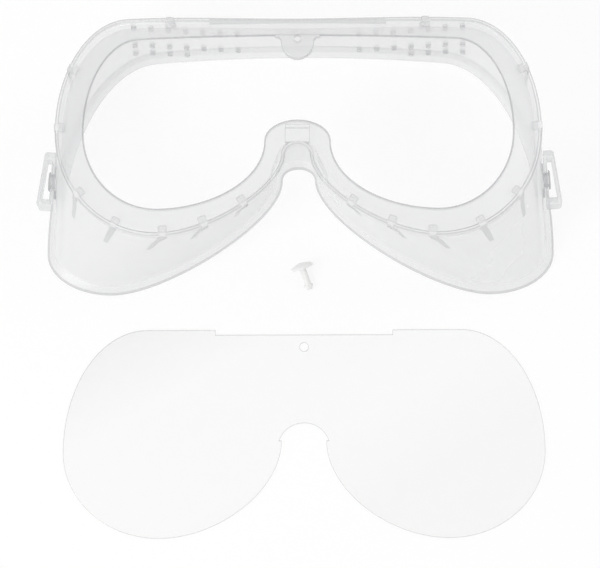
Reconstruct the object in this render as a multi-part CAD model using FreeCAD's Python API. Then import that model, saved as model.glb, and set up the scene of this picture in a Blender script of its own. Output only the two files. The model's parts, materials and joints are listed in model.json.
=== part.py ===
"""Clear cover goggles, laid out in pieces: moulded PVC frame, flat lens, lens pin and two strap clips.

Millimetres, +Z up. The frame lies face side down on the table, its front up and its brow towards +Y.
The lens lies flat in front of it and the pin lies on its side between the two. X = 0 is the mirror
plane, and the origin is on the table under the middle of the whole layout.
"""
import FreeCAD
import Part
import math
import os

V = FreeCAD.Vector
UP = V(0, 0, 1)
ROUND = 0.5523                 # Bezier handle length that makes a quarter turn elliptical

# Lens: a flat sheet. Its own y runs down from the top edge.
LENS_HALF_WIDTH = 82.9
LENS_THICKNESS = 1.2
LENS_CORNER_X = 54.0           # where the straight top edge ends
LENS_SIDE_Y = -42.5            # height of the widest place
LENS_LOBE_X = 50.0
LENS_BOTTOM_Y = -72.5
LENS_FLANK = 0.5               # fullness of the curve from lobe to nose
NOTCH_HALF_WIDTH = 30.5
NOTCH_DEPTH = 1.7
HOLE_FROM_NOTCH = 4.3
ARCH_RADIUS = 9.0              # nose cut-out
ARCH_TOP_Y = -32.5
HOOK_Y = -38.6                 # small hooks close in under the arch
HOOK_HALF_WIDTH = 7.7

# Pin
STEM_RADIUS = 1.15
STEM_LENGTH = 6.4
HEAD_RADIUS = 3.85
HEAD_EDGE = 0.7
HEAD_DOME = 1.1
TIP_RADIUS = 1.7               # of the barb, which narrows to its end
TIP_END_RADIUS = 0.8
TIP_LENGTH = 1.5
HOLE_CLEARANCE = 0.35          # round the stem in the lens
BORE_CLEARANCE = 0.15          # round the stem in the frame

# Frame: the rim
WRAP_RADIUS = 270.0            # the rim and the fitted lens curve about an upright axis
FRONT_HEIGHT = 50.0            # seat above the table at the mirror plane
SEAT_THICKNESS = 2.0
LENS_CLEARANCE = 0.3
LIP_WIDTH = 1.3
LIP_HEIGHT = 2.4
BAND_TOP = 6.9                 # from the rim's edge in to the opening
BAND_SIDE = 9.9
BAND_BOTTOM = 9.9
BROW_DIP = 1.4                 # the rim sags over the brow without a lens
CORNER_SPREAD = 4.0            # the empty rim is squarer than the lens
SIDE_RELAX = 6.0               # its widest place rides up
LOBE_RELAX = 3.0               # its lobes draw in
NOSE_RELAX = 3.0               # and its bridge hangs low until a lens holds it
RIM_FLANK = 0.42               # fullness of its curve from lobe to nose
NOSE_OVERLAP = 1.2             # of the lens over the seat at the bridge
OPENING_NOSE_HALF = 11.3
OPENING_NOSE_Y = -41.5
BRIDGE_HALF = 4.2
BRIDGE_Y = -46.5
BRIDGE_DEPTH = 9.0             # from the opening's arch to the rim's edge
BLOCK_DEPTH = 5.0              # raised block that fills the lens's arch
BLOCK_HEIGHT = 3.0
RIDGE_DEPTH = 1.6
RIDGE_HEIGHT = 1.0
BOSS_RADIUS = 5.5
BOSS_DROP = 1.6                # boss centre below the pin
BOSS_THICKNESS = 4.0

# Frame: the skirt and the flange that meets the face
WALL = 1.8
LIP_OVERHANG = 0.6
SKIRT_BURY = 1.0               # the wall starts inside the seat's thickness
FLARE_START = 0.5              # share of the flare that leads the wall
FLARE_DEPTH = 0.4              # at this share of its depth
WALL_STEPS = 5                 # bands that the wall is laid up from
FLANGE_WIDTH = 2.8
FLANGE_RISE = 1.4
FLANGE_THICKNESS = 1.7
FACE_TOP_Y = -3.2
FACE_CORNER_X = 49.0
FACE_HALF_WIDTH = 87.3
FACE_SIDE_Y = -72.0
FACE_LOBE_X = 65.0
FACE_BOTTOM_Y = -86.6
FACE_FLANK = 0.32
FACE_NOSE_HALF = 5.5
FACE_NOSE_Y = -51.5
FACE_ARCH_Y = -48.0
FOREHEAD_HEIGHT = 21.0
FOREHEAD_CORNER_HEIGHT = 11.0
CHEEK_HEIGHT = 1.0
NOSE_HEIGHT = 29.0
NOSE_FLANK_HEIGHT = 26.5

# Frame: nibs that hold the lens, and vents
NIB_WIDTH = 3.0
NIB_REACH = 2.2
NIB_THICKNESS = 1.0
NIB_PROUD = 0.2                # of the rim's edge
NIB_ROOT = 1.8                 # how deep its rib sits in the rim and wall
NIB_DROP = 6.0                 # how far the rib runs down the wall
NIB_PLACES = ((0.75,), (0.60, 0.97), (0.40, 0.71), (0.02, 0.27, 0.52))   # along each stretch of the rim
VENT_RADIUS = 0.9
VENT_PITCH = 5.9
VENT_SIDES = 8                 # small enough to pass for round
VENT_CUT = 20.0                # length of the cutter through the wall
VENT_FIRST_X = 20.8
VENT_ROWS = ((42.5, 0, 7), (28.0, 0, 7), (22.0, 3, 7))   # height, then first and last along the row

# Strap clips and the studs they turn on
STUD_Y = -50.0
STUD_Z = 19.0
STUD_RADIUS = 2.4
STUD_HEAD_RADIUS = 3.4
STUD_HEAD = 0.5
PAD_RADIUS = 6.0
PAD_PROUD = 0.4
CLIP_GAP = 0.35
CLIP_BASE = 1.0
CLIP_SLOT = 2.4                # at the middle of its length
CLIP_BAR = 1.1
CLIP_TAPER = 1.8               # the loop stands out less at its brow end
CLIP_LENGTH = 19.0
CLIP_HEIGHT = 9.0
CLIP_END = 2.6
CLIP_CORNER = 1.2

# Where the loose pieces lie
LENS_GAP = 12.0                # from the frame's cheeks to the lens
LENS_X = 1.2
PIN_X = 0.7
PIN_FROM_BRIDGE = 29.5
PIN_TURN = -70.0               # direction of the pin's tip on the table

# Worked out from the sizes above
RIM_MARGIN = LENS_CLEARANCE + LIP_WIDTH
RIM_TOP_Y = RIM_MARGIN
RIM_HALF_WIDTH = WRAP_RADIUS * math.sin((LENS_HALF_WIDTH + LENS_CLEARANCE) / WRAP_RADIUS) + LIP_WIDTH
PIN_Y = -NOTCH_DEPTH - HOLE_FROM_NOTCH
BORE_RADIUS = STEM_RADIUS + BORE_CLEARANCE
OPENING_ARCH_Y = ARCH_TOP_Y + NOSE_OVERLAP - NOSE_RELAX
NIB_UNDERSIDE = LENS_THICKNESS + LENS_CLEARANCE
LENS_Y = FACE_BOTTOM_Y - LENS_GAP
SHIFT = V(0, -(RIM_TOP_Y + LENS_Y + LENS_BOTTOM_Y) / 2, 0)
CLIP_FACE = PAD_PROUD + CLIP_GAP

TRAVEL = (V(1, 0, 0), V(1, 0, 0), V(0, -1, 0), V(-1, 0, 0), V(0, 1, 0), V(-1, 0, 0))


# ---- outlines: right half from the top middle round to the nose, then mirrored ----

def wrap_drop(x):
    return WRAP_RADIUS - math.sqrt(WRAP_RADIUS ** 2 - x ** 2)


def wrap_slope(x):
    return x / math.sqrt(WRAP_RADIUS ** 2 - x ** 2)


def rim_plan(grow=0.0):
    """Key places of the rim's edge: top middle, corner, side, lobe, bridge side, bridge top."""
    return ((0, RIM_TOP_Y - BROW_DIP + grow),
            (LENS_CORNER_X + CORNER_SPREAD, RIM_TOP_Y + grow),
            (RIM_HALF_WIDTH + grow, LENS_SIDE_Y + SIDE_RELAX),
            (LENS_LOBE_X - LOBE_RELAX, LENS_BOTTOM_Y - RIM_MARGIN - grow),
            (BRIDGE_HALF - grow, BRIDGE_Y),
            (0, OPENING_ARCH_Y - BRIDGE_DEPTH - grow))


def opening_plan():
    return ((0, RIM_TOP_Y - BAND_TOP),
            (LENS_CORNER_X, RIM_TOP_Y - BAND_TOP),
            (RIM_HALF_WIDTH - BAND_SIDE, LENS_SIDE_Y + SIDE_RELAX),
            (LENS_LOBE_X - LOBE_RELAX, LENS_BOTTOM_Y - RIM_MARGIN + BAND_BOTTOM),
            (OPENING_NOSE_HALF, OPENING_NOSE_Y),
            (0, OPENING_ARCH_Y))


def face_plan(grow=0.0):
    return ((0, FACE_TOP_Y + grow),
            (FACE_CORNER_X, FACE_TOP_Y + grow),
            (FACE_HALF_WIDTH + grow, FACE_SIDE_Y),
            (FACE_LOBE_X, FACE_BOTTOM_Y - grow),
            (FACE_NOSE_HALF - grow, FACE_NOSE_Y),
            (0, FACE_ARCH_Y - grow))


def half_rows(plan, heights, slopes, flank):
    """Bezier poles of each stretch between key places, which are passed square to the axes."""
    rows = []
    fullness = (1 / 3, ROUND, ROUND, flank, ROUND)
    for i, full in enumerate(fullness):
        start = V(*plan[i], heights[i])
        end = V(*plan[i + 1], heights[i + 1])
        step = end - start
        leave = TRAVEL[i] * (full * abs(step.dot(TRAVEL[i])))
        arrive = TRAVEL[i + 1] * (full * abs(step.dot(TRAVEL[i + 1])))
        rows.append([start, start + leave + UP * (slopes[i] * leave.Length),
                     end - arrive - UP * (slopes[i + 1] * arrive.Length), end])
    return rows


def closed(rows):
    left = [[V(-p.x, p.y, p.z) for p in reversed(row)] for row in reversed(rows)]
    return rows + left


def flat_ring(plan, flank=ROUND):
    level = (0,) * len(plan)
    return closed(half_rows(plan, level, level, flank))


def wrapped_ring(plan, above_seat):
    """A ring on the rim's curve, at a height above the seat."""
    heights = [FRONT_HEIGHT + above_seat - wrap_drop(x) for x, y in plan]
    slopes = [-wrap_slope(x) * along.x for (x, y), along in zip(plan, TRAVEL)]
    return closed(half_rows(plan, heights, slopes, RIM_FLANK))


def face_ring(plan, above_edge):
    """The edge that meets the face: high over the nose, raised at the forehead, low at the temples."""
    heights = (FOREHEAD_HEIGHT, FOREHEAD_CORNER_HEIGHT, 0, CHEEK_HEIGHT, NOSE_FLANK_HEIGHT, NOSE_HEIGHT)
    fall = 2 * (FOREHEAD_HEIGHT - FOREHEAD_CORNER_HEIGHT) / FACE_CORNER_X
    climb = 2 * (NOSE_HEIGHT - NOSE_FLANK_HEIGHT) / (FACE_ARCH_Y - FACE_NOSE_Y)
    slopes = (0, -fall, 0, CHEEK_HEIGHT / FACE_LOBE_X, climb, 0)
    return closed(half_rows(plan, [z + above_edge for z in heights], slopes, FACE_FLANK))


def edge_of(row):
    curve = Part.BezierCurve()
    curve.setPoles(row)
    return curve.toShape()


def prism(ring):
    face = Part.Face(Part.Wire([edge_of(row) for row in ring]))
    return face.extrude(UP * (2 * FRONT_HEIGHT))


def seat_layer(low, high):
    """What lies between two heights above the curved seat."""
    reach = RIM_HALF_WIDTH + PAD_RADIUS
    ends = []
    for level in (low, high):
        side = FRONT_HEIGHT + level - wrap_drop(reach)
        ends.append((V(-reach, 0, side), V(0, 0, FRONT_HEIGHT + level), V(reach, 0, side)))
    bottom, top = ends
    profile = Part.Wire([Part.Arc(*bottom).toShape(), Part.makeLine(bottom[2], top[2]),
                         Part.Arc(*reversed(top)).toShape(), Part.makeLine(top[0], bottom[0])])
    layer = Part.Face(profile).extrude(V(0, 3 * FRONT_HEIGHT, 0))
    layer.translate(V(0, -2 * FRONT_HEIGHT, 0))
    return layer


# ---- frame ----

def strips(upper, lower):
    """Faces ruled from one ring of edges to the next."""
    return [Part.makeRuledSurface(edge_of(high), edge_of(low)) for high, low in zip(upper, lower)]


def wall_rings(upper, lower):
    """Rings down a wall that stays near the rim's outline at first, then flares out to the face."""
    rings = []
    for i in range(WALL_STEPS + 1):
        t = i / WALL_STEPS
        out = 2 * t * (1 - t) * FLARE_START + t * t
        down = 2 * t * (1 - t) * FLARE_DEPTH + t * t
        rings.append([[p + V((q - p).x * out, (q - p).y * out, (q - p).z * down) for p, q in zip(high, low)]
                      for high, low in zip(upper, lower)])
    return rings


def make_skirt():
    """Flared wall from the rim to the face, and the flange that turns out along its edge."""
    rim_out = wrapped_ring(rim_plan(-LIP_OVERHANG), -SKIRT_BURY)
    rim_in = wrapped_ring(rim_plan(-LIP_OVERHANG - WALL), -SKIRT_BURY)
    root_out = face_ring(face_plan(-FLANGE_WIDTH), FLANGE_RISE + FLANGE_THICKNESS)
    root_in = face_ring(face_plan(-FLANGE_WIDTH - WALL), FLANGE_RISE)
    tip_top = face_ring(face_plan(), FLANGE_THICKNESS)
    tip_bottom = face_ring(face_plan(), 0)
    rings = wall_rings(rim_out, root_out) + [tip_top, tip_bottom]
    rings += wall_rings(rim_in, root_in)[::-1]
    faces = []
    for ring, following in zip(rings, rings[1:] + rings[:1]):
        faces += strips(ring, following)
    shell = Part.Shell(faces)
    shell.sewShape()
    solid = Part.Solid(shell)
    if solid.Volume < 0:
        solid.reverse()
    return solid


def make_rim():
    """Seat that the lens lies on, and the lip round it, thicker at the brow to fill the notch."""
    outer = prism(flat_ring(rim_plan(), RIM_FLANK))
    seat = outer.cut(prism(flat_ring(opening_plan()))).common(seat_layer(-SEAT_THICKNESS, 0))
    key_half = NOTCH_HALF_WIDTH - LENS_CLEARANCE
    key = Part.makeBox(2 * key_half, NOTCH_DEPTH + LIP_WIDTH, 2 * FRONT_HEIGHT,
                       V(-key_half, RIM_TOP_Y - RIM_MARGIN - NOTCH_DEPTH + LENS_CLEARANCE, 0))
    lip = outer.cut(prism(flat_ring(rim_plan(-LIP_WIDTH), RIM_FLANK))).fuse(outer.common(key))
    return seat.fuse(lip.common(seat_layer(-SEAT_THICKNESS / 2, LIP_HEIGHT)))


def make_boss():
    """Tongue at the brow that takes the lens pin."""
    centre_y = PIN_Y - BOSS_DROP
    tongue = Part.makeCylinder(BOSS_RADIUS, 2 * FRONT_HEIGHT, V(0, centre_y, 0))
    stalk = Part.makeBox(2 * BOSS_RADIUS, RIM_TOP_Y - LIP_WIDTH - centre_y, 2 * FRONT_HEIGHT,
                         V(-BOSS_RADIUS, centre_y, 0))
    return tongue.fuse(stalk).common(seat_layer(-BOSS_THICKNESS, 0))


def make_nose_block():
    """Raised block on the bridge, inside the lens's arch, with a low ridge above it."""
    low_y = OPENING_ARCH_Y - BRIDGE_DEPTH + LIP_OVERHANG
    block = Part.makeBox(2 * BRIDGE_HALF, BLOCK_DEPTH, 2 * FRONT_HEIGHT, V(-BRIDGE_HALF, low_y, 0))
    ridge = Part.makeBox(2 * BRIDGE_HALF, BLOCK_DEPTH + RIDGE_DEPTH, 2 * FRONT_HEIGHT,
                         V(-BRIDGE_HALF, low_y, 0))
    block = block.common(seat_layer(-SEAT_THICKNESS / 2, BLOCK_HEIGHT))
    return block.fuse(ridge.common(seat_layer(-SEAT_THICKNESS / 2, RIDGE_HEIGHT)))


def nib_bars(inner, outer, width):
    """Upright bars across the rim's edge, from inner to outer measured out from it."""
    bars = []
    for row, shares in zip(flat_ring(rim_plan(), RIM_FLANK), NIB_PLACES):
        curve = edge_of(row).Curve
        for share in shares:
            along = curve.tangent(share)[0]
            bar = Part.makeBox(outer - inner, width, 2 * FRONT_HEIGHT, V(inner, -width / 2, 0))
            bar.rotate(V(0, 0, 0), UP, math.degrees(math.atan2(along.x, -along.y)))
            bar.translate(curve.value(share))
            bars += [bar, mirrored(bar)]
    return Part.makeCompound(bars)


def make_nibs():
    """Small tabs over the lens's edge, each with a rib down the wall."""
    tabs = nib_bars(-LIP_WIDTH - NIB_REACH, -LIP_WIDTH / 2, NIB_WIDTH)
    ribs = nib_bars(-NIB_ROOT, NIB_PROUD, NIB_WIDTH - 2 * NIB_PROUD)
    middle = NIB_UNDERSIDE + NIB_THICKNESS / 2
    tabs = tabs.common(seat_layer(NIB_UNDERSIDE, NIB_UNDERSIDE + NIB_THICKNESS))
    ribs = ribs.common(seat_layer(-NIB_DROP, middle))
    return tabs.Solids + ribs.Solids


def vent_cutter(x, z):
    turns = [2 * math.pi * (i + 0.5) / VENT_SIDES for i in range(VENT_SIDES)]
    corners = [V(x + VENT_RADIUS * math.cos(a), FACE_TOP_Y - VENT_CUT / 2, z + VENT_RADIUS * math.sin(a))
               for a in turns]
    return Part.Face(Part.makePolygon(corners + corners[:1])).extrude(V(0, VENT_CUT, 0))


def make_vents():
    """Rows of small holes through the wall over the brow."""
    holes = [(VENT_FIRST_X + i * VENT_PITCH, z) for z, first, last in VENT_ROWS for i in range(first, last)]
    return Part.makeCompound([vent_cutter(x, z) for across, z in holes for x in (-across, across)])


def wall_x(skirt, y, z):
    ray = Part.makeLine(V(FACE_HALF_WIDTH / 2, y, z), V(2 * FACE_HALF_WIDTH, y, z))
    return skirt.common(ray).BoundBox.XMax


def stud_place(skirt):
    """On the right wall, square to the wall under the pad."""
    reach = PAD_RADIUS / 2
    rise_y = (wall_x(skirt, STUD_Y + reach, STUD_Z) - wall_x(skirt, STUD_Y - reach, STUD_Z)) / (2 * reach)
    rise_z = (wall_x(skirt, STUD_Y, STUD_Z + reach) - wall_x(skirt, STUD_Y, STUD_Z - reach)) / (2 * reach)
    yaw = FreeCAD.Rotation(UP, -math.degrees(math.atan(rise_y)))
    pitch = FreeCAD.Rotation(V(0, 1, 0), math.degrees(math.atan(rise_z)))
    return FreeCAD.Placement(V(wall_x(skirt, STUD_Y, STUD_Z), STUD_Y, STUD_Z), yaw.multiply(pitch))


def make_stud():
    """Pad, stem and snap head, along +X from the wall."""
    out = V(1, 0, 0)
    neck = CLIP_FACE + CLIP_BASE + CLIP_GAP
    pad = Part.makeCylinder(PAD_RADIUS, PAD_PROUD + WALL / 2, V(-WALL / 2, 0, 0), out)
    stem = Part.makeCylinder(STUD_RADIUS, neck, V(0, 0, 0), out)
    head = Part.makeCylinder(STUD_HEAD_RADIUS, STUD_HEAD, V(neck, 0, 0), out)
    return pad.fuse([stem, head])


def clip_block(inner, outer, half_length, half_height):
    """Block along Y whose outer side leans in towards the brow."""
    lean = CLIP_TAPER * half_length / CLIP_LENGTH
    corners = [V(inner, -half_length, 0), V(outer + lean, -half_length, 0),
               V(outer - lean, half_length, 0), V(inner, half_length, 0)]
    block = Part.Face(Part.makePolygon(corners + corners[:1])).extrude(UP * (2 * half_height))
    block.translate(V(0, 0, -half_height))
    return block


def make_clip():
    """Loop that the strap threads through, along +X from the wall, bored to turn on its stud."""
    base_top = CLIP_FACE + CLIP_BASE
    slot_top = base_top + CLIP_SLOT
    loop = clip_block(CLIP_FACE, slot_top + CLIP_BAR, CLIP_LENGTH / 2, CLIP_HEIGHT / 2)
    corners = [e for e in loop.Edges if e.BoundBox.XMin > base_top and e.BoundBox.YLength < CLIP_TAPER]
    loop = loop.makeFillet(CLIP_CORNER, corners)
    slot = clip_block(base_top, slot_top, CLIP_LENGTH / 2 - CLIP_END, CLIP_HEIGHT)
    bore = Part.makeCylinder(STUD_RADIUS + CLIP_GAP, 2 * CLIP_BASE, V(CLIP_FACE - CLIP_BASE / 2, 0, 0),
                             V(1, 0, 0))
    return loop.cut(slot).cut(bore)


def placed(shape, place):
    moved = shape.copy()
    moved.Placement = place
    return moved


def mirrored(shape):
    return shape.mirror(V(0, 0, 0), V(1, 0, 0))


def make_frame(skirt, place):
    stud = placed(make_stud(), place)
    frame = make_rim().fuse([skirt, make_boss(), make_nose_block(), stud, mirrored(stud)] + make_nibs())
    bore_foot = V(0, PIN_Y, FRONT_HEIGHT - BOSS_THICKNESS - SEAT_THICKNESS)
    bore = Part.makeCylinder(BORE_RADIUS, BOSS_THICKNESS + 2 * SEAT_THICKNESS, bore_foot)
    return frame.cut(make_vents()).cut(bore)


# ---- lens and pin ----

def make_lens():
    """Flat sheet with a shallow notch in its top edge, a pin hole and an arch over the nose."""
    plan = ((0, 0), (LENS_CORNER_X, 0), (LENS_HALF_WIDTH, LENS_SIDE_Y),
            (LENS_LOBE_X, LENS_BOTTOM_Y), (HOOK_HALF_WIDTH, HOOK_Y))
    level = (0,) * len(plan)
    centre_y = ARCH_TOP_Y - ARCH_RADIUS
    arch_foot = V(math.sqrt(ARCH_RADIUS ** 2 - (HOOK_Y - centre_y) ** 2), HOOK_Y, 0)
    corner, side, lobe = half_rows(plan + ((0, HOOK_Y),), level + (0,), level + (0,), LENS_FLANK)[1:4]
    notch = V(NOTCH_HALF_WIDTH, 0, 0)
    right = [Part.makeLine(notch, corner[0]), edge_of(corner), edge_of(side), edge_of(lobe),
             Part.makeLine(lobe[-1], arch_foot)]
    left = [mirrored(edge) for edge in right]
    arch = Part.Arc(arch_foot, V(0, ARCH_TOP_Y, 0), V(-arch_foot.x, HOOK_Y, 0)).toShape()
    dip = V(0, -NOTCH_DEPTH, 0)
    left_notch = V(-NOTCH_HALF_WIDTH, 0, 0)
    notch_edges = [Part.makeLine(left_notch, left_notch + dip), Part.makeLine(left_notch + dip, notch + dip),
                   Part.makeLine(notch + dip, notch)]
    outline = Part.Wire(Part.__sortEdges__(right + left + [arch] + notch_edges))
    sheet = Part.Face(outline).extrude(UP * LENS_THICKNESS)
    hole = Part.makeCylinder(STEM_RADIUS + HOLE_CLEARANCE, LENS_THICKNESS, V(0, PIN_Y, 0))
    sheet = sheet.cut(hole)
    sheet.translate(V(LENS_X, LENS_Y, 0))
    return sheet


def make_pin():
    """Domed head, stem and barbed tip that springs out behind the boss, along +X from the head."""
    back = -HEAD_EDGE
    dome_radius = (HEAD_RADIUS ** 2 + HEAD_DOME ** 2) / (2 * HEAD_DOME)
    half_turn = math.asin(HEAD_RADIUS / dome_radius) / 2
    centre = back - HEAD_DOME + dome_radius
    shoulder = V(centre - dome_radius * math.cos(half_turn), dome_radius * math.sin(half_turn), 0)
    crown = V(back - HEAD_DOME, 0, 0)
    dome = Part.Arc(crown, shoulder, V(back, HEAD_RADIUS, 0)).toShape()
    end = STEM_LENGTH + TIP_LENGTH
    corners = [V(back, HEAD_RADIUS, 0), V(0, HEAD_RADIUS, 0), V(0, STEM_RADIUS, 0),
               V(STEM_LENGTH - TIP_RADIUS + STEM_RADIUS, STEM_RADIUS, 0), V(STEM_LENGTH, TIP_RADIUS, 0),
               V(end, TIP_END_RADIUS, 0), V(end, 0, 0), crown]
    sides = [Part.makeLine(p, q) for p, q in zip(corners, corners[1:])]
    pin = Part.Face(Part.Wire([dome] + sides)).revolve(V(0, 0, 0), V(1, 0, 0), 360)
    # It rests on the head's edge and on the barb.
    lean = math.atan((HEAD_RADIUS - TIP_RADIUS) / STEM_LENGTH)
    turn = FreeCAD.Rotation(UP, PIN_TURN).multiply(FreeCAD.Rotation(V(0, 1, 0), math.degrees(lean)))
    place = V(PIN_X, FACE_ARCH_Y - PIN_FROM_BRIDGE, HEAD_RADIUS * math.cos(lean))
    return placed(pin, FreeCAD.Placement(place, turn))


def main():
    os.makedirs("parts", exist_ok=True)
    skirt = make_skirt()
    place = stud_place(skirt)
    clip = placed(make_clip(), place)
    nodes = {"goggle_frame": make_frame(skirt, place), "lens": make_lens(), "lens_pin": make_pin(),
             "strap_clip_right": clip, "strap_clip_left": mirrored(clip)}
    for name, shape in nodes.items():
        shape.translate(SHIFT)
        shape.exportStep(f"parts/{name}.step")
        box = shape.BoundBox
        print(name, shape.ShapeType, len(shape.Solids), shape.isValid(), round(shape.Volume, 1),
              [round(v, 2) for v in (box.XMin, box.XMax, box.YMin, box.YMax, box.ZMin, box.ZMax)])
    stud = place.Base + SHIFT
    axis = place.Rotation.multVec(V(1, 0, 0))
    print("stud", [round(v, 4) for v in stud], "axis", [round(v, 6) for v in axis])


main()
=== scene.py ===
"""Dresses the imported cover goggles: clear moulded frame, flat lens, lens pin and strap clips on a pale table."""

import json
import math

import bmesh
import bpy
from mathutils import Matrix, Vector


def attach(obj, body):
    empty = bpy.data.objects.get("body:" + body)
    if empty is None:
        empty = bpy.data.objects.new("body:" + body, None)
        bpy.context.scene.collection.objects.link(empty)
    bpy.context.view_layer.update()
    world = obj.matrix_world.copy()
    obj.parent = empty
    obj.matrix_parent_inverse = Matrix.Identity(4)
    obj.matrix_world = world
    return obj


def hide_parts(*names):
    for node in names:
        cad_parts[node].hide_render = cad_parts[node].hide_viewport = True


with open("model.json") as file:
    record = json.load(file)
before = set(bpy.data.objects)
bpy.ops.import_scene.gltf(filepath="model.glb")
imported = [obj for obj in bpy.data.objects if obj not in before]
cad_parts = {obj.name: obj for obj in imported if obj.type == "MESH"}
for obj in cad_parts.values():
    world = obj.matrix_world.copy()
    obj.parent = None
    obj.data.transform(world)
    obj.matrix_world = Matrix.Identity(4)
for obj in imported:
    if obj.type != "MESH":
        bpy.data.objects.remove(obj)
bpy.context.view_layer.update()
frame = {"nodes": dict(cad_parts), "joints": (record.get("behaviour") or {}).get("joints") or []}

MM = 0.001
ROUND = 0.5523                 # Bezier handle length that makes a quarter turn elliptical

# Camera: far off and high over the table, so that the frame's depth hardly leans.
CAMERA_AZIMUTH = 7.0
CAMERA_ELEVATION = 80.0
CAMERA_DISTANCE = 3.0
VIEW_WIDTH = 206.9 * MM        # seen across the picture at the table
AIM = Vector((-0.2, 2.3, 0)) * MM

# Frame, in millimetres: the lens it takes, its rim and its band
LENS_HALF_WIDTH = 82.9
LENS_CORNER_X = 54.0
LENS_SIDE_Y = -42.5
LENS_LOBE_X = 50.0
LENS_BOTTOM_Y = -72.5
LENS_THICKNESS = 1.2
NOTCH_HALF_WIDTH = 30.5
NOTCH_DEPTH = 1.7
ARCH_TOP_Y = -32.5
PIN_Y = -6.0
WRAP_RADIUS = 270.0
FRONT_HEIGHT = 50.0
SEAT_THICKNESS = 2.0
LENS_CLEARANCE = 0.3
LIP_WIDTH = 1.3
LIP_HEIGHT = 2.4
BAND_TOP = 6.9
BAND_SIDE = 9.9
BAND_BOTTOM = 9.9
BROW_DIP = 1.4
CORNER_SPREAD = 4.0
SIDE_RELAX = 6.0
LOBE_RELAX = 3.0
NOSE_RELAX = 3.0
RIM_FLANK = 0.42
NOSE_OVERLAP = 1.2
OPENING_NOSE_HALF = 11.3
OPENING_NOSE_Y = -41.5
BRIDGE_HALF = 4.2
BRIDGE_Y = -46.5
BRIDGE_DEPTH = 9.0
BLOCK_DEPTH = 5.0
BLOCK_HEIGHT = 3.0
RIDGE_DEPTH = 1.6
RIDGE_HEIGHT = 1.0
RIDGE_INSET = 0.05
BOSS_RADIUS = 5.5
BOSS_DROP = 1.6
BOSS_THICKNESS = 4.0
BOSS_FILLET = 2.2
BOSS_PROUD = 0.02
BORE_RADIUS = 1.3

# How far its corners are rounded
OPENING_EASE = 0.6
OPENING_BACK_EASE = 0.7
LIP_FOOT_EASE = 0.4
LIP_INNER_EASE = 0.45
LIP_OUTER_EASE = 0.5
RIM_BACK_EASE = 0.5
WALL_TOP_EASE = 0.3
WALL_INSIDE_EASE = 0.8
FLANGE_ROOT_EASE = 1.8
FLANGE_EASE = 0.8
SKIRT_ROOT_EASE = 1.2
BOSS_EASE = 0.5
BLOCK_EASE = 0.4
SHORTEST_SHARE = 0.45          # of a side, which a rounded corner may take at most

# Its skirt and the flange that meets the face
WALL = 1.8
LIP_OVERHANG = 0.6
SKIRT_BURY = 1.0
FLARE_START = 0.5
FLARE_DEPTH = 0.4
FLANGE_WIDTH = 2.8
FLANGE_RISE = 1.4
FLANGE_THICKNESS = 1.7
FACE_TOP_Y = -3.2
FACE_CORNER_X = 49.0
FACE_HALF_WIDTH = 87.3
FACE_SIDE_Y = -72.0
FACE_LOBE_X = 65.0
FACE_BOTTOM_Y = -86.6
FACE_FLANK = 0.32
FACE_NOSE_HALF = 5.5
FACE_NOSE_Y = -51.5
FACE_ARCH_Y = -48.0
FOREHEAD_HEIGHT = 21.0
FOREHEAD_CORNER_HEIGHT = 11.0
CHEEK_HEIGHT = 1.0
NOSE_HEIGHT = 29.0
NOSE_FLANK_HEIGHT = 26.5

# Its nibs and vents
NIB_WIDTH = 3.0
NIB_REACH = 2.2
NIB_THICKNESS = 1.0
NIB_PROUD = 0.25
NIB_EASE = 0.25
NIB_TAPER = ((0.5, 1, 1), (0.1, 0.85, 0.8), (0, 0.6, 0.5))     # distance to its end, shares of width and thickness
RIB_WIDTH = 2.4
RIB_SUNK = 1.0
RIB_BURY = 0.02
RIB_EASE = 0.3
RIB_END_SHARE = 0.7            # of its width, at its foot
RIB_STEPS = 4                  # rings of the wall that a rib runs down
NIB_PLACES = ((0.75,), (0.60, 0.97), (0.40, 0.71), (0.02, 0.27, 0.52))
VENT_RADIUS = 0.9
VENT_PITCH = 5.9
VENT_CUT = 20.0
VENT_FIRST_X = 20.8
VENT_ROWS = ((41.0, 0, 7), (28.0, 0, 7), (22.0, 3, 7))
LENS_GAP = 12.0

# Studs, along their axis from the wall
PAD_RADIUS = 6.0
STUD_RADIUS = 2.4
STUD_HEAD_RADIUS = 3.4
PAD_TOP = 0.4
PAD_EASE = 0.2
STUD_FILLET = 0.1
HEAD_BOTTOM = 2.1
HEAD_TOP = 2.6
HEAD_EASE = 0.3
HEAD_UNDER_EASE = 0.15
CAP_RADIUS = 0.5

# How finely the pieces are made
ROW_STATIONS = (58, 40, 46, 46, 8)      # along each stretch of the outline
WALL_RINGS = 14
CORNER_STEPS = 4
TURN_STEPS = 64
BEVEL_STEPS = 3
KEY_END_SHARES = (-0.006, -0.0025, 0.0, 0.0025, 0.006)         # stations close round the brow key's end
KEY_END_CLEAR = 0.008
NIB_AIM = 0.01                 # share of the outline that gives a nib's direction
SHARP_ANGLE = 38.0
FLAT_ANGLE = 12.0              # keeps the flats of the loose pieces flat up to their eased edges
PLANE_ANGLE = 1.0
MERGE = 0.001 * MM
# The edge material is a darker copy of the walls' material: painted shade for the dark lines along clear edges.
BODY, EDGE = 0, 1              # materials of a clear piece: its walls, and its cut or moulded edges
FRONT_FACING = 0.8             # how squarely a face of an added part looks forward to count as a wall

# Table and lights
TABLE_HALF = 3.0
TABLE_GAP = 0.1 * MM           # keeps the table clear of the faces that lie on it
TABLE_TONE = 0.95
TABLE_SEEN_WHITE = 0.8
WORLD_STRENGTH = 0.75
LAMP_DISTANCE = 0.9
LAMPS = (("key", -60, 50, 0.35, 2.2), ("fill", 120, 40, 0.5, 1.0))      # azimuth, elevation, size, watts
CLEAR_BOUNCES = 48             # clear walls that a ray may pass
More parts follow.
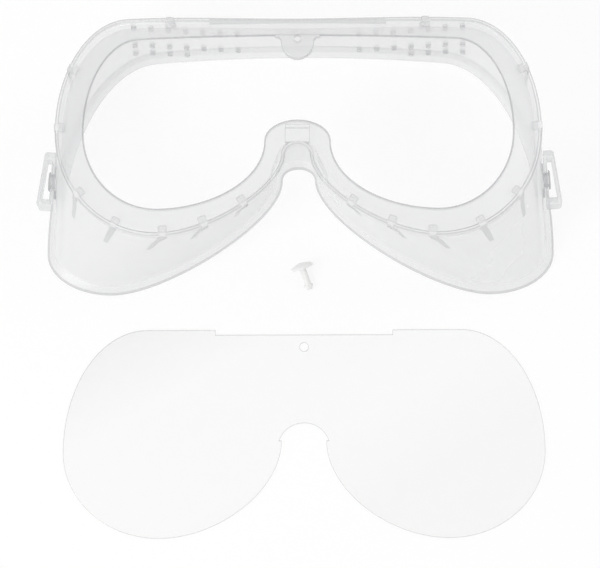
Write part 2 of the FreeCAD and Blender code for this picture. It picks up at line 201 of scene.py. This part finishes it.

# Painted reflection across the lens: bands of extra haze that stand in for a soft reflection
SHEEN_TURN = 60.0
SHEEN_SCALE = 9.0
SHEEN_START = 0.3
PAINTED_SHEEN = ((0.0, 0.22), (0.14, 0.14), (0.38, 0.0), (0.75, 0.0), (1.0, 0.06))

RIM_MARGIN = LENS_CLEARANCE + LIP_WIDTH
RIM_TOP_Y = RIM_MARGIN
RIM_HALF_WIDTH = WRAP_RADIUS * math.sin((LENS_HALF_WIDTH + LENS_CLEARANCE) / WRAP_RADIUS) + LIP_WIDTH
OPENING_ARCH_Y = ARCH_TOP_Y + NOSE_OVERLAP - NOSE_RELAX
KEY_HALF = NOTCH_HALF_WIDTH - LENS_CLEARANCE
KEY_Y = RIM_TOP_Y - RIM_MARGIN - NOTCH_DEPTH + LENS_CLEARANCE
NIB_UNDERSIDE = LENS_THICKNESS + LENS_CLEARANCE
SHIFT = Vector((0, -(RIM_TOP_Y + FACE_BOTTOM_Y - LENS_GAP + LENS_BOTTOM_Y) / 2, 0))
UP = Vector((0, 0, 1))
TRAVEL = (Vector((1, 0, 0)), Vector((1, 0, 0)), Vector((0, -1, 0)),
          Vector((-1, 0, 0)), Vector((0, 1, 0)), Vector((-1, 0, 0)))


def turned(azimuth, elevation):
    """Unit vector from the object towards that azimuth and elevation; azimuth 0 is the -Y side."""
    a = math.radians(azimuth)
    e = math.radians(elevation)
    return Vector((math.sin(a) * math.cos(e), -math.cos(a) * math.cos(e), math.sin(e)))


def make_camera():
    data = bpy.data.cameras.new("camera")
    data.sensor_width = 36
    data.lens = data.sensor_width * CAMERA_DISTANCE / VIEW_WIDTH
    data.clip_start = 0.1
    data.clip_end = 20
    camera = bpy.data.objects.new("camera", data)
    bpy.context.scene.collection.objects.link(camera)
    back = turned(CAMERA_AZIMUTH, CAMERA_ELEVATION)
    camera.location = AIM + back * CAMERA_DISTANCE
    right = Vector((0, 1, 0)).cross(back).normalized()
    axes = Matrix((right, back.cross(right), back)).transposed()
    camera.rotation_mode = "QUATERNION"
    camera.rotation_quaternion = axes.to_quaternion()
    bpy.context.scene.camera = camera


# ---- outlines: right half from the top middle round to the nose, then mirrored ----

def wrap_drop(x):
    return WRAP_RADIUS - math.sqrt(WRAP_RADIUS ** 2 - x ** 2)


def wrap_slope(x):
    return x / math.sqrt(WRAP_RADIUS ** 2 - x ** 2)


def rim_plan(grow=0.0):
    return ((0, RIM_TOP_Y - BROW_DIP + grow),
            (LENS_CORNER_X + CORNER_SPREAD, RIM_TOP_Y + grow),
            (RIM_HALF_WIDTH + grow, LENS_SIDE_Y + SIDE_RELAX),
            (LENS_LOBE_X - LOBE_RELAX, LENS_BOTTOM_Y - RIM_MARGIN - grow),
            (BRIDGE_HALF - grow, BRIDGE_Y),
            (0, OPENING_ARCH_Y - BRIDGE_DEPTH - grow))


def opening_plan():
    return ((0, RIM_TOP_Y - BAND_TOP),
            (LENS_CORNER_X, RIM_TOP_Y - BAND_TOP),
            (RIM_HALF_WIDTH - BAND_SIDE, LENS_SIDE_Y + SIDE_RELAX),
            (LENS_LOBE_X - LOBE_RELAX, LENS_BOTTOM_Y - RIM_MARGIN + BAND_BOTTOM),
            (OPENING_NOSE_HALF, OPENING_NOSE_Y),
            (0, OPENING_ARCH_Y))


def face_plan(grow=0.0):
    return ((0, FACE_TOP_Y + grow),
            (FACE_CORNER_X, FACE_TOP_Y + grow),
            (FACE_HALF_WIDTH + grow, FACE_SIDE_Y),
            (FACE_LOBE_X, FACE_BOTTOM_Y - grow),
            (FACE_NOSE_HALF - grow, FACE_NOSE_Y),
            (0, FACE_ARCH_Y - grow))


def half_rows(plan, heights, slopes, flank):
    """Bezier poles of each stretch between key places, which are passed square to the axes."""
    rows = []
    fullness = (1 / 3, ROUND, ROUND, flank, ROUND)
    for i, full in enumerate(fullness):
        start = Vector((*plan[i], heights[i]))
        end = Vector((*plan[i + 1], heights[i + 1]))
        step = end - start
        leave = TRAVEL[i] * (full * abs(step.dot(TRAVEL[i])))
        arrive = TRAVEL[i + 1] * (full * abs(step.dot(TRAVEL[i + 1])))
        rows.append([start, start + leave + UP * (slopes[i] * leave.length),
                     end - arrive - UP * (slopes[i + 1] * arrive.length), end])
    return rows


def mirrored(p):
    return Vector((-p.x, p.y, p.z))


def closed(rows):
    left = [[mirrored(p) for p in reversed(row)] for row in reversed(rows)]
    return rows + left


def wrapped_ring(plan, above_seat, flank=RIM_FLANK):
    """A ring on the rim's curve, at a height above the seat."""
    heights = [FRONT_HEIGHT + above_seat - wrap_drop(x) for x, y in plan]
    slopes = [-wrap_slope(x) * along.x for (x, y), along in zip(plan, TRAVEL)]
    return closed(half_rows(plan, heights, slopes, flank))


def face_ring(plan, above_edge):
    """The edge that meets the face: high over the nose, raised at the forehead, low at the temples."""
    heights = (FOREHEAD_HEIGHT, FOREHEAD_CORNER_HEIGHT, 0, CHEEK_HEIGHT, NOSE_FLANK_HEIGHT, NOSE_HEIGHT)
    fall = 2 * (FOREHEAD_HEIGHT - FOREHEAD_CORNER_HEIGHT) / FACE_CORNER_X
    climb = 2 * (NOSE_HEIGHT - NOSE_FLANK_HEIGHT) / (FACE_ARCH_Y - FACE_NOSE_Y)
    slopes = (0, -fall, 0, CHEEK_HEIGHT / FACE_LOBE_X, climb, 0)
    return closed(half_rows(plan, [z + above_edge for z in heights], slopes, FACE_FLANK))


def wall_rings(upper, lower, steps):
    """Rings down a wall that stays near the rim's outline at first, then flares out to the face."""
    rings = []
    for i in range(1, steps + 1):
        t = i / steps
        out = 2 * t * (1 - t) * FLARE_START + t * t
        down = 2 * t * (1 - t) * FLARE_DEPTH + t * t
        rings.append([[p + Vector(((q - p).x * out, (q - p).y * out, (q - p).z * down))
                       for p, q in zip(high, low)] for high, low in zip(upper, lower)])
    return rings


def along(row, t):
    s = 1 - t
    return row[0] * s ** 3 + row[1] * (3 * s * s * t) + row[2] * (3 * s * t * t) + row[3] * t ** 3


def stations():
    """Row and parameter of each place round the outline, closer where the brow key ends."""
    key_end = KEY_HALF / (LENS_CORNER_X + CORNER_SPREAD)
    half = []
    for row, count in enumerate(ROW_STATIONS):
        shares = [i / count for i in range(count)]
        if row == 0:
            near = [key_end + d for d in KEY_END_SHARES]
            shares = sorted([t for t in shares if abs(t - key_end) > KEY_END_CLEAR] + near)
        half += [(row, t) for t in shares]
    last = 2 * len(ROW_STATIONS) - 1
    left = [(last - row, 1 - t) for row, t in reversed(half) if (row, t) != (0, 0)]
    return half + [(len(ROW_STATIONS), 0.0)] + left


# ---- mesh helpers ----

def new_piece(name, points, faces, kinds=None):
    """Object of the moulded vinyl from points in millimetres; kinds gives each face's material."""
    data = bpy.data.meshes.new(name)
    data.from_pydata([(p + SHIFT) * MM for p in points], [], faces)
    for material in (clear_pvc, clear_pvc_edge_painted_shade):
        data.materials.append(material)
    if kinds:
        data.polygons.foreach_set("material_index", kinds)
    piece = bpy.data.objects.new(name, data)
    bpy.context.scene.collection.objects.link(piece)
    shape = bmesh.new()
    shape.from_mesh(data)
    bmesh.ops.recalc_face_normals(shape, faces=shape.faces)
    shape.to_mesh(data)
    shape.free()
    return piece


def lofted(sections, ring=False):
    """Faces between equal closed sections; a ring joins the last to the first, otherwise ends are capped."""
    count = len(sections)
    across = len(sections[0])
    points = [p for section in sections for p in section]
    faces = []
    for i in range(count if ring else count - 1):
        a = i * across
        b = (i + 1) % count * across
        for j in range(across):
            k = (j + 1) % across
            faces.append((a + j, a + k, b + k, b + j))
    if not ring:
        faces.append(tuple(range(across)))
        faces.append(tuple(range((count - 1) * across, count * across))[::-1])
    return points, faces


def joined(parts):
    """Points and faces of several parts as one."""
    points = []
    faces = []
    for some, sides in parts:
        faces += [tuple(len(points) + i for i in side) for side in sides]
        points += some
    return points, faces


def rounded(section):
    """A closed section whose corners, given as point and radius, are rounded off."""
    count = len(section)
    out = []
    for i, (corner, radius) in enumerate(section):
        if radius == 0:
            out.append(corner)
            continue
        before = section[i - 1][0] - corner
        after = section[(i + 1) % count][0] - corner
        start = corner + before * (min(radius, SHORTEST_SHARE * before.length) / before.length)
        end = corner + after * (min(radius, SHORTEST_SHARE * after.length) / after.length)
        for k in range(CORNER_STEPS + 1):
            t = k / CORNER_STEPS
            out.append(start * (1 - t) ** 2 + corner * (2 * t * (1 - t)) + end * t ** 2)
    return out


def block(outline, bottom, top, radius):
    """Upright block on a closed outline of (x, y) corners, with its top and bottom edges eased."""
    centre = Vector((sum(x for x, y in outline), sum(y for x, y in outline), 0)) / len(outline)
    levels = []
    for k in range(CORNER_STEPS + 1):
        a = math.pi / 2 * k / CORNER_STEPS
        levels.append((radius * (1 - math.sin(a)), radius * (1 - math.cos(a))))
    rises = [(inset, bottom + rise) for inset, rise in levels]
    rises += [(inset, top - rise) for inset, rise in reversed(levels)]
    sections = []
    for inset, z in rises:
        section = []
        for x, y in outline:
            away = Vector((x, y, 0)) - centre
            p = centre + away * (1 - inset / away.length)
            section.append(Vector((p.x, p.y, z)))
        sections.append(section)
    return lofted(sections)


def turned_part(profile, place, axis):
    """Round part from (along, radius) points, turned about an axis, with a flat cap at each end."""
    side = axis.orthogonal().normalized()
    other = axis.cross(side)
    sections = []
    for far, radius in profile:
        section = []
        for i in range(TURN_STEPS):
            a = 2 * math.pi * i / TURN_STEPS
            section.append(place + axis * far + (side * math.cos(a) + other * math.sin(a)) * radius)
        sections.append(section)
    return lofted(sections)


def combined(piece, tool, operation):
    """The piece after joining or cutting with a tool, which is used up."""
    change = piece.modifiers.new("change", "BOOLEAN")
    change.operation = operation
    change.object = tool
    change.solver = "MANIFOLD"
    applied(piece)
    bpy.data.objects.remove(tool)


def applied(piece):
    """The piece with its modifiers made into mesh."""
    graph = bpy.context.evaluated_depsgraph_get()
    data = bpy.data.meshes.new_from_object(piece.evaluated_get(graph))
    piece.modifiers.clear()
    piece.data = data


# ---- moulded frame ----

def band_sections():
    """Closed sections through the rim, skirt and flange all round, and the material of each face between them."""
    opening_top = wrapped_ring(opening_plan(), 0, ROUND)
    opening_low = wrapped_ring(opening_plan(), -SEAT_THICKNESS, ROUND)
    lip_foot = wrapped_ring(rim_plan(-LIP_WIDTH), 0)
    lip_inner = wrapped_ring(rim_plan(-LIP_WIDTH), LIP_HEIGHT)
    lip_outer = wrapped_ring(rim_plan(), LIP_HEIGHT)
    rim_low = wrapped_ring(rim_plan(), -SEAT_THICKNESS)
    wall_top = wrapped_ring(rim_plan(-LIP_OVERHANG), -SEAT_THICKNESS)
    inner_top = wrapped_ring(rim_plan(-LIP_OVERHANG - WALL), -SEAT_THICKNESS)
    root_in = face_ring(face_plan(-FLANGE_WIDTH - WALL), FLANGE_RISE)
    inner_wall = wall_rings(wrapped_ring(rim_plan(-LIP_OVERHANG - WALL), -SKIRT_BURY), root_in, WALL_RINGS)
    outside = outer_wall()
    # Rings flagged True have their rounded corners drawn in the darker edge material: painted shade.
    rings = [(opening_top, OPENING_EASE, True), (lip_foot, LIP_FOOT_EASE, False),
             (lip_inner, LIP_INNER_EASE, True), (lip_outer, LIP_OUTER_EASE, True),
             (rim_low, RIM_BACK_EASE, False), (wall_top, WALL_TOP_EASE, False)]
    rings += [(ring, 0, False) for ring in outside[:-1]]
    rings += [(outside[-1], FLANGE_ROOT_EASE, False), (face_ring(face_plan(), FLANGE_THICKNESS), FLANGE_EASE, True),
              (face_ring(face_plan(), 0), FLANGE_EASE, False), (root_in, SKIRT_ROOT_EASE, False)]
    rings += [(ring, 0, False) for ring in inner_wall[-2::-1]]
    rings += [(inner_top, WALL_INSIDE_EASE, False), (opening_low, OPENING_BACK_EASE, True)]
    foot, inner, outer = 1, 2, 3           # places of the lip's rings in a section
    sections = []
    kinds = []
    for row, t in stations():
        section = [[along(ring[row], t), radius] for ring, radius, painted_dark in rings]
        at_key = row in (0, 2 * len(ROW_STATIONS) - 1) and abs(section[outer][0].x) < KEY_HALF
        if at_key:
            section[foot][0].y = KEY_Y
            section[inner][0].y = KEY_Y
        sections.append(rounded(section))
        for i, (ring, radius, painted_dark) in enumerate(rings):
            kinds += [EDGE if painted_dark else BODY] * (CORNER_STEPS if radius else 0)
            kinds.append(EDGE if at_key and i == inner else BODY)
    return sections, kinds


def outer_wall():
    """Rings down the skirt's outside."""
    rim_out = wrapped_ring(rim_plan(-LIP_OVERHANG), -SKIRT_BURY)
    root_out = face_ring(face_plan(-FLANGE_WIDTH), FLANGE_RISE + FLANGE_THICKNESS)
    return wall_rings(rim_out, root_out, WALL_RINGS)


def nib_stations():
    """Points of each nib and its rib, from the lip down the wall, with its outward and sideways directions."""
    rings = [wrapped_ring(rim_plan(-LIP_WIDTH), LIP_HEIGHT), wrapped_ring(rim_plan(), LIP_HEIGHT),
             wrapped_ring(rim_plan(), -SEAT_THICKNESS)] + outer_wall()[1:RIB_STEPS]
    places = []
    for row, shares in enumerate(NIB_PLACES):
        for t in shares:
            line = [along(ring[row], t) for ring in rings]
            ahead = along(rings[1][row], t + NIB_AIM) - along(rings[1][row], t - NIB_AIM)
            side = Vector((ahead.x, ahead.y, 0)).normalized()
            out = Vector((-side.y, side.x, 0))
            places.append((line, out, side))
            places.append(([mirrored(p) for p in line], mirrored(out), mirrored(side)))
    return places


def tab(line, out, side):
    """Flat tab over the lens's edge, from within the lip."""
    middle = line[1] + UP * (NIB_UNDERSIDE - LIP_HEIGHT)
    stages = [(-LIP_WIDTH / 2, 1, 1)]
    stages += [(-LIP_WIDTH - NIB_REACH + left, width, thick) for left, width, thick in NIB_TAPER]
    sections = []
    for far, width, thick in stages:
        root = middle + out * far
        half = side * (NIB_WIDTH / 2 * width)
        low = UP * (NIB_THICKNESS * (1 - thick) / 2)
        high = UP * (NIB_THICKNESS * (1 + thick) / 2)
        corners = (root - half + low, root + half + low, root + half + high, root - half + high)
        sections.append(rounded([(corner, NIB_EASE) for corner in corners]))
    return lofted(sections)


def rib(line, out, side):
    """Low bar from the lip's top over the rim's edge and down the wall, fading out."""
    sections = []
    for i, p in enumerate(line):
        fade = 1 if i < 3 else 1 - (i - 2) / (len(line) - 2)
        half = side * (RIB_WIDTH / 2 * (RIB_END_SHARE + (1 - RIB_END_SHARE) * fade))
        proud = (UP if i == 0 else out) * (NIB_PROUD * fade - RIB_BURY)
        if i == 1:
            proud += UP * NIB_PROUD
        sunk = (out * -RIB_SUNK) if i else (UP * -RIB_SUNK)
        if i == 1:
            sunk += UP * -RIB_SUNK
        sections.append(rounded([(p - half + sunk, 0), (p + half + sunk, 0),
                                 (p + half + proud, RIB_EASE), (p - half + proud, RIB_EASE)]))
    return lofted(sections)


def arc(centre, radius, start, end):
    """Points on an arc between two angles in degrees."""
    count = TURN_STEPS // 4
    turns = [math.radians(start + (end - start) * i / count) for i in range(count + 1)]
    return [(centre[0] + radius * math.cos(a), centre[1] + radius * math.sin(a)) for a in turns]


def make_boss():
    """Tongue at the brow with a rounded end, filleted into the band."""
    edge_y = RIM_TOP_Y - BAND_TOP
    middle = (BOSS_RADIUS + BOSS_FILLET, edge_y - BOSS_FILLET)
    left = arc((-middle[0], middle[1]), BOSS_FILLET, 90, 0)
    right = arc(middle, BOSS_FILLET, 180, 90)
    tip = arc((0, PIN_Y - BOSS_DROP), BOSS_RADIUS, 180, 360)
    outline = [(-middle[0], edge_y + 1)] + left + tip + right + [(middle[0], edge_y + 1)]
    return block(outline, FRONT_HEIGHT - BOSS_THICKNESS, FRONT_HEIGHT + BOSS_PROUD, BOSS_EASE)


def make_nose_block():
    """Block on the bridge, and the lower ridge that runs out above it."""
    low_y = OPENING_ARCH_Y - BRIDGE_DEPTH + LIP_OVERHANG
    sizes = ((BLOCK_DEPTH, BLOCK_HEIGHT, BRIDGE_HALF),
             (BLOCK_DEPTH + RIDGE_DEPTH, RIDGE_HEIGHT, BRIDGE_HALF - RIDGE_INSET))
    parts = []
    for depth, height, half in sizes:
        outline = [(-half, low_y), (half, low_y), (half, low_y + depth), (-half, low_y + depth)]
        parts.append(block(outline, FRONT_HEIGHT - SEAT_THICKNESS / 2, FRONT_HEIGHT + height, BLOCK_EASE))
    return parts


def make_studs():
    """Headed stud on a pad for each strap clip, on the clip's own axis."""
    profile = ((-WALL / 2, CAP_RADIUS), (-WALL / 2, PAD_RADIUS), (PAD_TOP - PAD_EASE, PAD_RADIUS),
               (PAD_TOP, PAD_RADIUS - PAD_EASE), (PAD_TOP, STUD_RADIUS + PAD_EASE),
               (PAD_TOP + STUD_FILLET, STUD_RADIUS), (HEAD_BOTTOM, STUD_RADIUS),
               (HEAD_BOTTOM, STUD_HEAD_RADIUS - STUD_FILLET), (HEAD_BOTTOM + HEAD_UNDER_EASE, STUD_HEAD_RADIUS),
               (HEAD_TOP, STUD_HEAD_RADIUS - HEAD_EASE), (HEAD_TOP, CAP_RADIUS))
    parts = []
    for joint in frame["joints"]:
        if joint["type"] == "hinge":
            place = Vector(joint["pos_m"]) / MM - SHIFT
            parts.append(turned_part(profile, place, Vector(joint["axis"]).normalized()))
    return parts


def make_cutters():
    """Vents through the brow wall, and the pin's bore through the boss."""
    back = Vector((0, 1, 0))
    parts = []
    for z, first, last in VENT_ROWS:
        for i in range(first, last):
            x = VENT_FIRST_X + i * VENT_PITCH
            for across in (-x, x):
                place = Vector((across, FACE_TOP_Y - VENT_CUT / 2, z))
                parts.append(turned_part(((0, VENT_RADIUS), (VENT_CUT, VENT_RADIUS)), place, back))
    foot = Vector((0, PIN_Y, FRONT_HEIGHT - BOSS_THICKNESS - SEAT_THICKNESS))
    parts.append(turned_part(((0, BORE_RADIUS), (BOSS_THICKNESS + 2 * SEAT_THICKNESS, BORE_RADIUS)), foot, UP))
    return parts


def edged(piece, flat):
    """Marks a piece's faces as edges, but for those that face front or back more squarely than given."""
    # Side faces take the darker edge material: painted shade.
    for face in piece.data.polygons:
        face.material_index = BODY if abs(face.normal.z) > flat else EDGE
    return piece


def make_moulding():
    """The frame as one moulding, with its added parts joined and its holes cut."""
    sections, kinds = band_sections()
    piece = new_piece("moulded_frame", *lofted(sections, ring=True), kinds)
    nibs = nib_stations()
    nose_block, nose_ridge = make_nose_block()
    for parts in ([tab(*nib) for nib in nibs], [rib(*nib) for nib in nibs], [make_boss()],
                  [nose_block], [nose_ridge], make_studs()):
        combined(piece, edged(new_piece("addition", *joined(parts)), FRONT_FACING), "UNION")
    combined(piece, edged(new_piece("cutter", *joined(make_cutters())), 1), "DIFFERENCE")
    return piece


# ---- loose pieces ----

def eased(node, name, width):
    """A copy of a CAD node with its sharp edges eased and its own shading normals left out."""
    data = frame["nodes"][node].data.copy()
    data.name = name
    data.materials.clear()
    shape = bmesh.new()
    shape.from_mesh(data)
    bmesh.ops.remove_doubles(shape, verts=shape.verts, dist=MERGE)
    bmesh.ops.dissolve_limit(shape, angle_limit=math.radians(PLANE_ANGLE), verts=shape.verts, edges=shape.edges)
    limit = math.radians(SHARP_ANGLE)
    sharp = [e for e in shape.edges if len(e.link_faces) == 2 and e.calc_face_angle() > limit]
    bevel = bmesh.ops.bevel(shape, geom=sharp, offset=width, segments=BEVEL_STEPS, profile=0.5,
                            affect="EDGES", clamp_overlap=True)
    # Bevel faces take the darker edge material: painted shade.
    for face in bevel["faces"]:
        face.material_index = EDGE
    shape.to_mesh(data)
    shape.free()
    normals = data.attributes.get("custom_normal")
    if normals:
        data.attributes.remove(normals)
    piece = bpy.data.objects.new(name, data)
    bpy.context.scene.collection.objects.link(piece)
    return piece


def dressed(piece, body, node, materials=(), sharp=SHARP_ANGLE):
    """Gives a piece its materials and shading, and puts it on its body in the place of a CAD node."""
    for material in materials:
        piece.data.materials.append(material)
    piece.data.polygons.foreach_set("use_smooth", [True] * len(piece.data.polygons))
    piece.data.set_sharp_from_angle(angle=math.radians(sharp))
    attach(piece, body)
    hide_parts(node)


# ---- materials ----

class Nodes:
    """A material's node tree with short calls to add and link nodes."""

    def __init__(self, name):
        self.material = bpy.data.materials.new(name)
        self.material.use_nodes = True
        self.tree = self.material.node_tree
        self.tree.nodes.clear()

    def add(self, kind, **inputs):
        node = self.tree.nodes.new(kind)
        for name, value in inputs.items():
            socket = node.inputs[name.replace("_", " ")]
            if isinstance(value, bpy.types.NodeSocket):
                self.tree.links.new(value, socket)
            else:
                socket.default_value = value
        return node

    def ramp(self, value, stops):
        node = self.tree.nodes.new("ShaderNodeValToRGB")
        self.tree.links.new(value, node.inputs["Fac"])
        elements = node.color_ramp.elements
        while len(elements) < len(stops):
            elements.new(0.5)
        for element, (place, level) in zip(elements, stops):
            element.position = place
            element.color = (level, level, level, 1)
        return node.outputs["Color"]

    def mix(self, share, first, second):
        node = self.add("ShaderNodeMixShader", Fac=share)
        self.tree.links.new(first.outputs[0], node.inputs[1])
        self.tree.links.new(second.outputs[0], node.inputs[2])
        return node

    def finish(self, shader):
        out = self.tree.nodes.new("ShaderNodeOutputMaterial")
        self.tree.links.new(shader.outputs[0], out.inputs["Surface"])
        return self.material


def clear_plastic(name, tint, haze, edge_haze, body, roughness, grain, grain_depth, painted_reflection_stops=None):
    """Clear plastic: see-through with a haze that thickens at grazing angles, and a gloss over it.

    Optional stops of extra haze across the piece paint a soft reflection onto it.
    """
    n = Nodes(name)
    place = n.add("ShaderNodeTexCoord").outputs["Object"]
    noise = n.add("ShaderNodeTexNoise", Vector=place, Scale=grain, Detail=3.0)
    bump = n.add("ShaderNodeBump", Height=noise.outputs["Fac"], Distance=grain_depth, Strength=1.0)
    bump = bump.outputs["Normal"]
    rough = n.ramp(noise.outputs["Fac"], ((0.0, roughness * 0.5), (1.0, roughness * 1.6)))
    see = n.add("ShaderNodeBsdfTransparent", Color=(tint, tint, tint, 1))
    lit = n.add("ShaderNodeBsdfDiffuse", Color=body, Normal=bump)
    passed = n.add("ShaderNodeBsdfTranslucent", Color=body, Normal=bump)
    facing = n.add("ShaderNodeLayerWeight", Blend=0.5, Normal=bump).outputs["Facing"]
    share = n.ramp(facing, ((0.0, haze), (0.6, haze * 1.2), (1.0, edge_haze)))
    if painted_reflection_stops:
        # Painted reflection: extra haze in bands across the piece, fixed to it
        turn = n.add("ShaderNodeMapping", Vector=place, Location=(SHEEN_START, 0, 0),
                     Rotation=(0, 0, math.radians(SHEEN_TURN)), Scale=(SHEEN_SCALE, SHEEN_SCALE, SHEEN_SCALE))
        ramp = n.ramp(n.add("ShaderNodeTexGradient", Vector=turn.outputs[0]).outputs["Fac"], painted_reflection_stops)
        total = n.add("ShaderNodeMath", Value=0.0)
        n.tree.links.new(share, total.inputs[0])
        n.tree.links.new(ramp, total.inputs[1])
        share = total.outputs[0]
    milky = n.mix(share, see, n.mix(0.5, lit, passed))
    gloss = n.add("ShaderNodeBsdfGlossy", Color=(1, 1, 1, 1), Roughness=rough, Normal=bump)
    shine = n.ramp(facing, ((0.0, 0.04), (0.5, 0.06), (0.75, 0.16), (0.9, 0.36), (1.0, 0.8)))
    return n.finish(n.mix(shine, milky, gloss))


def milky_plastic(name, colour, roughness):
    """White plastic that light enters a little."""
    n = Nodes(name)
    place = n.add("ShaderNodeTexCoord").outputs["Object"]
    noise = n.add("ShaderNodeTexNoise", Vector=place, Scale=700.0, Detail=3.0)
    bump = n.add("ShaderNodeBump", Height=noise.outputs["Fac"], Distance=0.05 * MM, Strength=0.6)
    rough = n.ramp(noise.outputs["Fac"], ((0.3, roughness * 0.8), (0.7, roughness * 1.3)))
    solid = n.add("ShaderNodeBsdfPrincipled", Base_Color=colour, Roughness=rough, IOR=1.5,
                  Subsurface_Weight=0.4, Subsurface_Scale=2 * MM, Subsurface_Radius=(1, 1, 1),
                  Normal=bump.outputs["Normal"])
    return n.finish(solid)


# ---- table and lights ----

def make_stage():
    """Pale table that shows white and keeps soft shadows."""
    data = bpy.data.meshes.new("table")
    corners = ((-1, -1), (1, -1), (1, 1), (-1, 1))
    points = [(x * TABLE_HALF, y * TABLE_HALF, -TABLE_GAP) for x, y in corners]
    data.from_pydata(points, [], [(0, 1, 2, 3)])
    table = bpy.data.objects.new("table", data)
    bpy.context.scene.collection.objects.link(table)
    n = Nodes("table_white")
    matt = n.add("ShaderNodeBsdfDiffuse", Color=(TABLE_TONE, TABLE_TONE, TABLE_TONE, 1))
    glow = n.add("ShaderNodeEmission", Color=(1, 1, 1, 1), Strength=1.0)
    rays = n.add("ShaderNodeLightPath")
    seen = n.add("ShaderNodeMath", Value=TABLE_SEEN_WHITE)
    seen.operation = "MULTIPLY"
    n.tree.links.new(rays.outputs["Is Camera Ray"], seen.inputs[1])
    table.data.materials.append(n.finish(n.mix(seen.outputs[0], matt, glow)))


def area_light(name, azimuth, elevation, size, watts):
    """Square soft lamp that looks at the middle of the table."""
    data = bpy.data.lights.new(name, "AREA")
    data.shape = "RECTANGLE"
    data.size = data.size_y = size
    data.energy = watts
    lamp = bpy.data.objects.new(name, data)
    bpy.context.scene.collection.objects.link(lamp)
    back = turned(azimuth, elevation)
    lamp.location = back * LAMP_DISTANCE
    lamp.rotation_mode = "QUATERNION"
    lamp.rotation_quaternion = (-back).to_track_quat("-Z", "Y")


def make_lights():
    world = bpy.data.worlds.new("studio")
    bpy.context.scene.world = world
    world.use_nodes = True
    world.node_tree.nodes["Background"].inputs["Color"].default_value = (1, 1, 1, 1)
    world.node_tree.nodes["Background"].inputs["Strength"].default_value = WORLD_STRENGTH
    for lamp in LAMPS:
        area_light(*lamp)


bpy.context.scene.view_settings.view_transform = "Standard"
bpy.context.scene.cycles.transparent_max_bounces = CLEAR_BOUNCES
make_camera()
make_stage()
make_lights()

clear_pvc = clear_plastic("clear_pvc", tint=0.985, haze=0.26, edge_haze=0.45, body=(0.87, 0.875, 0.88, 1),
                          roughness=0.22, grain=25.0, grain_depth=0.005 * MM)
# Darker copy of clear_pvc for edges: painted shade for the dark lines along clear edges.
clear_pvc_edge_painted_shade = clear_plastic("clear_pvc_edge_painted_shade", tint=0.86, haze=0.3, edge_haze=0.5, body=(0.60, 0.61, 0.62, 1),
                               roughness=0.16, grain=40.0, grain_depth=0.01 * MM)
# The lens sheet carries a painted reflection: bands of extra haze across it.
clear_sheet = clear_plastic("clear_sheet", tint=0.995, haze=0.02, edge_haze=0.4, body=(0.84, 0.84, 0.84, 1),
                            roughness=0.05, grain=30.0, grain_depth=0.003 * MM, painted_reflection_stops=PAINTED_SHEEN)
# Darker copy of the lens material for its edges: painted shade for the dark lines along clear edges.
clear_sheet_edge_painted_shade = clear_plastic("clear_sheet_edge_painted_shade", tint=0.88, haze=0.3, edge_haze=0.5, body=(0.6, 0.6, 0.6, 1),
                                 roughness=0.08, grain=30.0, grain_depth=0.01 * MM)
clear_clip = clear_plastic("clear_clip", tint=0.97, haze=0.25, edge_haze=0.6, body=(0.84, 0.85, 0.86, 1),
                           roughness=0.10, grain=120.0, grain_depth=0.02 * MM)
nylon = milky_plastic("nylon", (0.86, 0.86, 0.85, 1), 0.38)

dressed(make_moulding(), "frame", "goggle_frame")
dressed(eased("lens", "lens_sheet", 0.2 * MM), "lens", "lens", (clear_sheet, clear_sheet_edge_painted_shade),
        FLAT_ANGLE)
dressed(eased("lens_pin", "push_pin", 0.12 * MM), "pin", "lens_pin", (nylon, nylon))
for side in ("left", "right"):
    dressed(eased("strap_clip_" + side, "clip_" + side, 0.25 * MM), "clip_" + side, "strap_clip_" + side,
            (clear_clip, clear_pvc_edge_painted_shade), FLAT_ANGLE)
